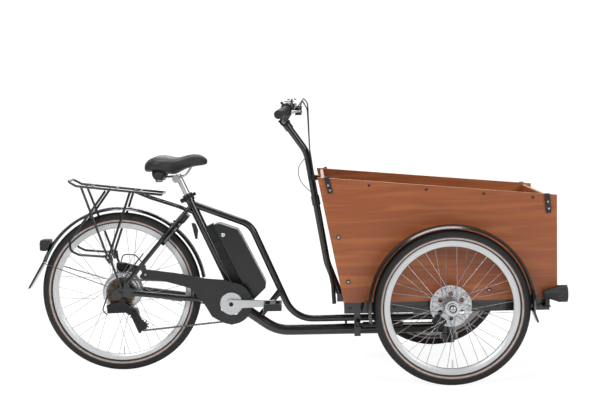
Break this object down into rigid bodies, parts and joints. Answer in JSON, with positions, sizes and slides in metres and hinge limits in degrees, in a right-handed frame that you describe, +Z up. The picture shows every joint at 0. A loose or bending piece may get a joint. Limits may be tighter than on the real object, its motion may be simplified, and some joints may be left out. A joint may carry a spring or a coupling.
{
  "type": "cargo bicycle",
  "caption": "Electric cargo tricycle with a wooden load box between two steered front wheels, a driven rear wheel and a rear rack.",
  "frame": {"origin": "middle of the bounding box, on the ground", "axes": "+X forward, +Y to the rider's left, +Z up; the drive side faces -Y"},
  "size_m": [2.146, 0.8448, 1.1066],
  "materials": {
    "frame_paint": "satin",
    "tyre_rubber": "matt",
    "rim_black": "satin",
    "spoke_steel": "polished",
    "hub_metal": "satin",
    "steel": "brushed",
    "aluminium": "satin",
    "chain_steel": "oiled",
    "black_plastic": "matt",
    "gloss_black": "gloss",
    "saddle_cover": "matt",
    "panel_wood": "lacquered",
    "red_lens": "clear red",
    "cable_cover": "matt",
    "grip_rubber": "matt",
    "chrome": "polished"
  },
  "bodies": {
    "frame": {"main_tube": "frame_paint", "upper_tube": "frame_paint", "seat_tube": "frame_paint", "chain_stays": "frame_paint", "seat_stays": "frame_paint", "steering_head": "frame_paint", "battery_dock": "aluminium", "chain_guard": "black_plastic", "rear_rack": "frame_paint", "rear_fender": "black_plastic", "tail_light": "red_lens", "rear_caliper": "aluminium", "ring_lock": "gloss_black", "derailleur": "aluminium", "chain": "chain_steel", "rear_cables": "cable_cover"},
    "seat": {"seat_post": "aluminium", "saddle_rails": "steel", "saddle": "saddle_cover"},
    "seat_clamp": {"seat_clamp_lever": "aluminium"},
    "battery_pack": {"battery": "gloss_black"},
    "lock": {"lock_bolt": "steel"},
    "crank": {"crank_arms": "aluminium", "chainring": "steel"},
    "right_pedal": {"pedal_right": "black_plastic"},
    "left_pedal": {"pedal_left": "black_plastic"},
    "sprockets": {"freewheel": "steel"},
    "cage": {"derailleur_cage": "steel"},
    "guide": {"guide_pulley": "black_plastic"},
    "tension": {"tension_pulley": "black_plastic"},
    "rear_wheel": {"rear_tyre": "tyre_rubber", "rear_rim": "rim_black", "rear_spokes": "spoke_steel", "rear_hub": "hub_metal"},
    "right_wheel": {"right_tyre": "tyre_rubber", "right_rim": "rim_black", "right_spokes": "spoke_steel", "right_hub": "hub_metal"},
    "left_wheel": {"left_tyre": "tyre_rubber", "left_rim": "rim_black", "left_spokes": "spoke_steel", "left_hub": "hub_metal"},
    "front": {"box_frame": "frame_paint", "box_panels": "panel_wood", "box_fittings": "steel", "steering_column": "frame_paint", "handlebar": "frame_paint", "grips": "grip_rubber", "front_fenders": "black_plastic", "headlight": "black_plastic", "front_calipers": "aluminium", "front_cables": "cable_cover", "cable_loop": "cable_cover", "bell": "chrome"},
    "shifter": {"gear_shifter": "black_plastic"},
    "right_brake": {"brake_lever_right": "aluminium"},
    "left_brake": {"brake_lever_left": "aluminium"},
    "bell_thumb": {"bell_lever": "black_plastic"},
    "damper_body": {"damper_cylinder": "gloss_black"},
    "damper_shaft": {"damper_rod": "chrome"}
  },
  "joints": [
    {"name": "steering", "type": "hinge", "parent": "frame", "child": "front", "pos_m": [0.652, 0, 0.26], "axis": [0, 0, 1], "range_deg": [-35, 35]},
    {"name": "rear_wheel_spin", "type": "hinge", "parent": "frame", "child": "rear_wheel", "pos_m": [-0.69, 0, 0.327], "axis": [0, 1, 0], "continuous": true},
    {"name": "right_wheel_spin", "type": "hinge", "parent": "front", "child": "right_wheel", "pos_m": [0.624, -0.38, 0.3], "axis": [0, 1, 0], "continuous": true},
    {"name": "left_wheel_spin", "type": "hinge", "parent": "front", "child": "left_wheel", "pos_m": [0.624, 0.38, 0.3], "axis": [0, 1, 0], "continuous": true},
    {"name": "crank_spin", "type": "hinge", "parent": "frame", "child": "crank", "pos_m": [-0.236, 0, 0.28], "axis": [0, 1, 0], "continuous": true},
    {"name": "right_pedal_spin", "type": "hinge", "parent": "crank", "child": "right_pedal", "pos_m": [-0.066, -0.15, 0.28], "axis": [0, 1, 0], "continuous": true},
    {"name": "left_pedal_spin", "type": "hinge", "parent": "crank", "child": "left_pedal", "pos_m": [-0.406, 0.15, 0.28], "axis": [0, 1, 0], "continuous": true},
    {"name": "freewheel_spin", "type": "hinge", "parent": "frame", "child": "sprockets", "pos_m": [-0.69, 0, 0.327], "axis": [0, 1, 0], "continuous": true},
    {"name": "cage_swing", "type": "hinge", "parent": "frame", "child": "cage", "pos_m": [-0.656, -0.043, 0.258], "axis": [0, 1, 0], "range_deg": [-14, 10], "stiffness_Nm_per_rad": 2, "deforming": ["chain"]},
    {"name": "guide_spin", "type": "hinge", "parent": "cage", "child": "guide", "pos_m": [-0.64, -0.043, 0.243], "axis": [0, 1, 0], "continuous": true},
    {"name": "tension_spin", "type": "hinge", "parent": "cage", "child": "tension", "pos_m": [-0.602, -0.043, 0.19], "axis": [0, 1, 0], "continuous": true},
    {"name": "seat_height", "type": "slide", "parent": "frame", "child": "seat", "axis": [-0.4087, 0, 0.9126], "range_m": [-0.04, 0.12]},
    {"name": "seat_clamp", "type": "hinge", "parent": "frame", "child": "seat_clamp", "pos_m": [-0.42955, -0.027, 0.69784], "axis": [0.4848, 0, -0.8746], "range_deg": [0, 150]},
    {"name": "battery_release", "type": "slide", "parent": "frame", "child": "battery_pack", "axis": [-0.4087, 0, 0.9126], "range_m": [0, 0.01]},
    {"name": "lock_close", "type": "hinge", "parent": "frame", "child": "lock", "pos_m": [-0.47855, 0, 0.56183], "axis": [0.7431, 0, -0.6691], "range_deg": [0, 84], "stiffness_Nm_per_rad": 0.15},
    {"name": "shifter_turn", "type": "hinge", "parent": "front", "child": "shifter", "pos_m": [0.01027, -0.2134, 1.06555], "axis": [-0.256, -0.9547, -0.1519], "range_deg": [-45, 45]},
    {"name": "right_brake_pull", "type": "hinge", "parent": "front", "child": "right_brake", "pos_m": [0.05276, -0.1892, 1.0554], "axis": [0, 0, -1], "range_deg": [0, 10], "stiffness_Nm_per_rad": 4},
    {"name": "left_brake_pull", "type": "hinge", "parent": "front", "child": "left_brake", "pos_m": [0.05276, 0.1892, 1.0554], "axis": [0, 0, 1], "range_deg": [0, 10], "stiffness_Nm_per_rad": 4},
    {"name": "bell_flick", "type": "hinge", "parent": "front", "child": "bell_thumb", "pos_m": [0.02738, -0.1496, 1.0942], "axis": [0, 0, 1], "range_deg": [0, 30], "stiffness_Nm_per_rad": 0.05},
    {"name": "damper_swing", "type": "hinge", "parent": "frame", "child": "damper_body", "pos_m": [0.278, -0.06, 0.18], "axis": [0, 0, 1], "range_deg": [-3, 3]},
    {"name": "damper_stroke", "type": "slide", "parent": "damper_body", "child": "damper_shaft", "axis": [0.9999, 0.0173, 0], "range_m": [-0.031, 0.031]}
  ],
  "couplings": [
    {"joint": "freewheel_spin", "follows": "crank_spin", "ratio": 1.3571},
    {"joint": "tension_spin", "follows": "crank_spin", "ratio": 3.8},
    {"joint": "guide_spin", "follows": "crank_spin", "ratio": -3.8},
    {"joint": "damper_swing", "follows": "steering", "ratio": -0.079},
    {"joint": "damper_stroke", "follows": "steering", "m_per_rad": 0.0495}
  ]
}
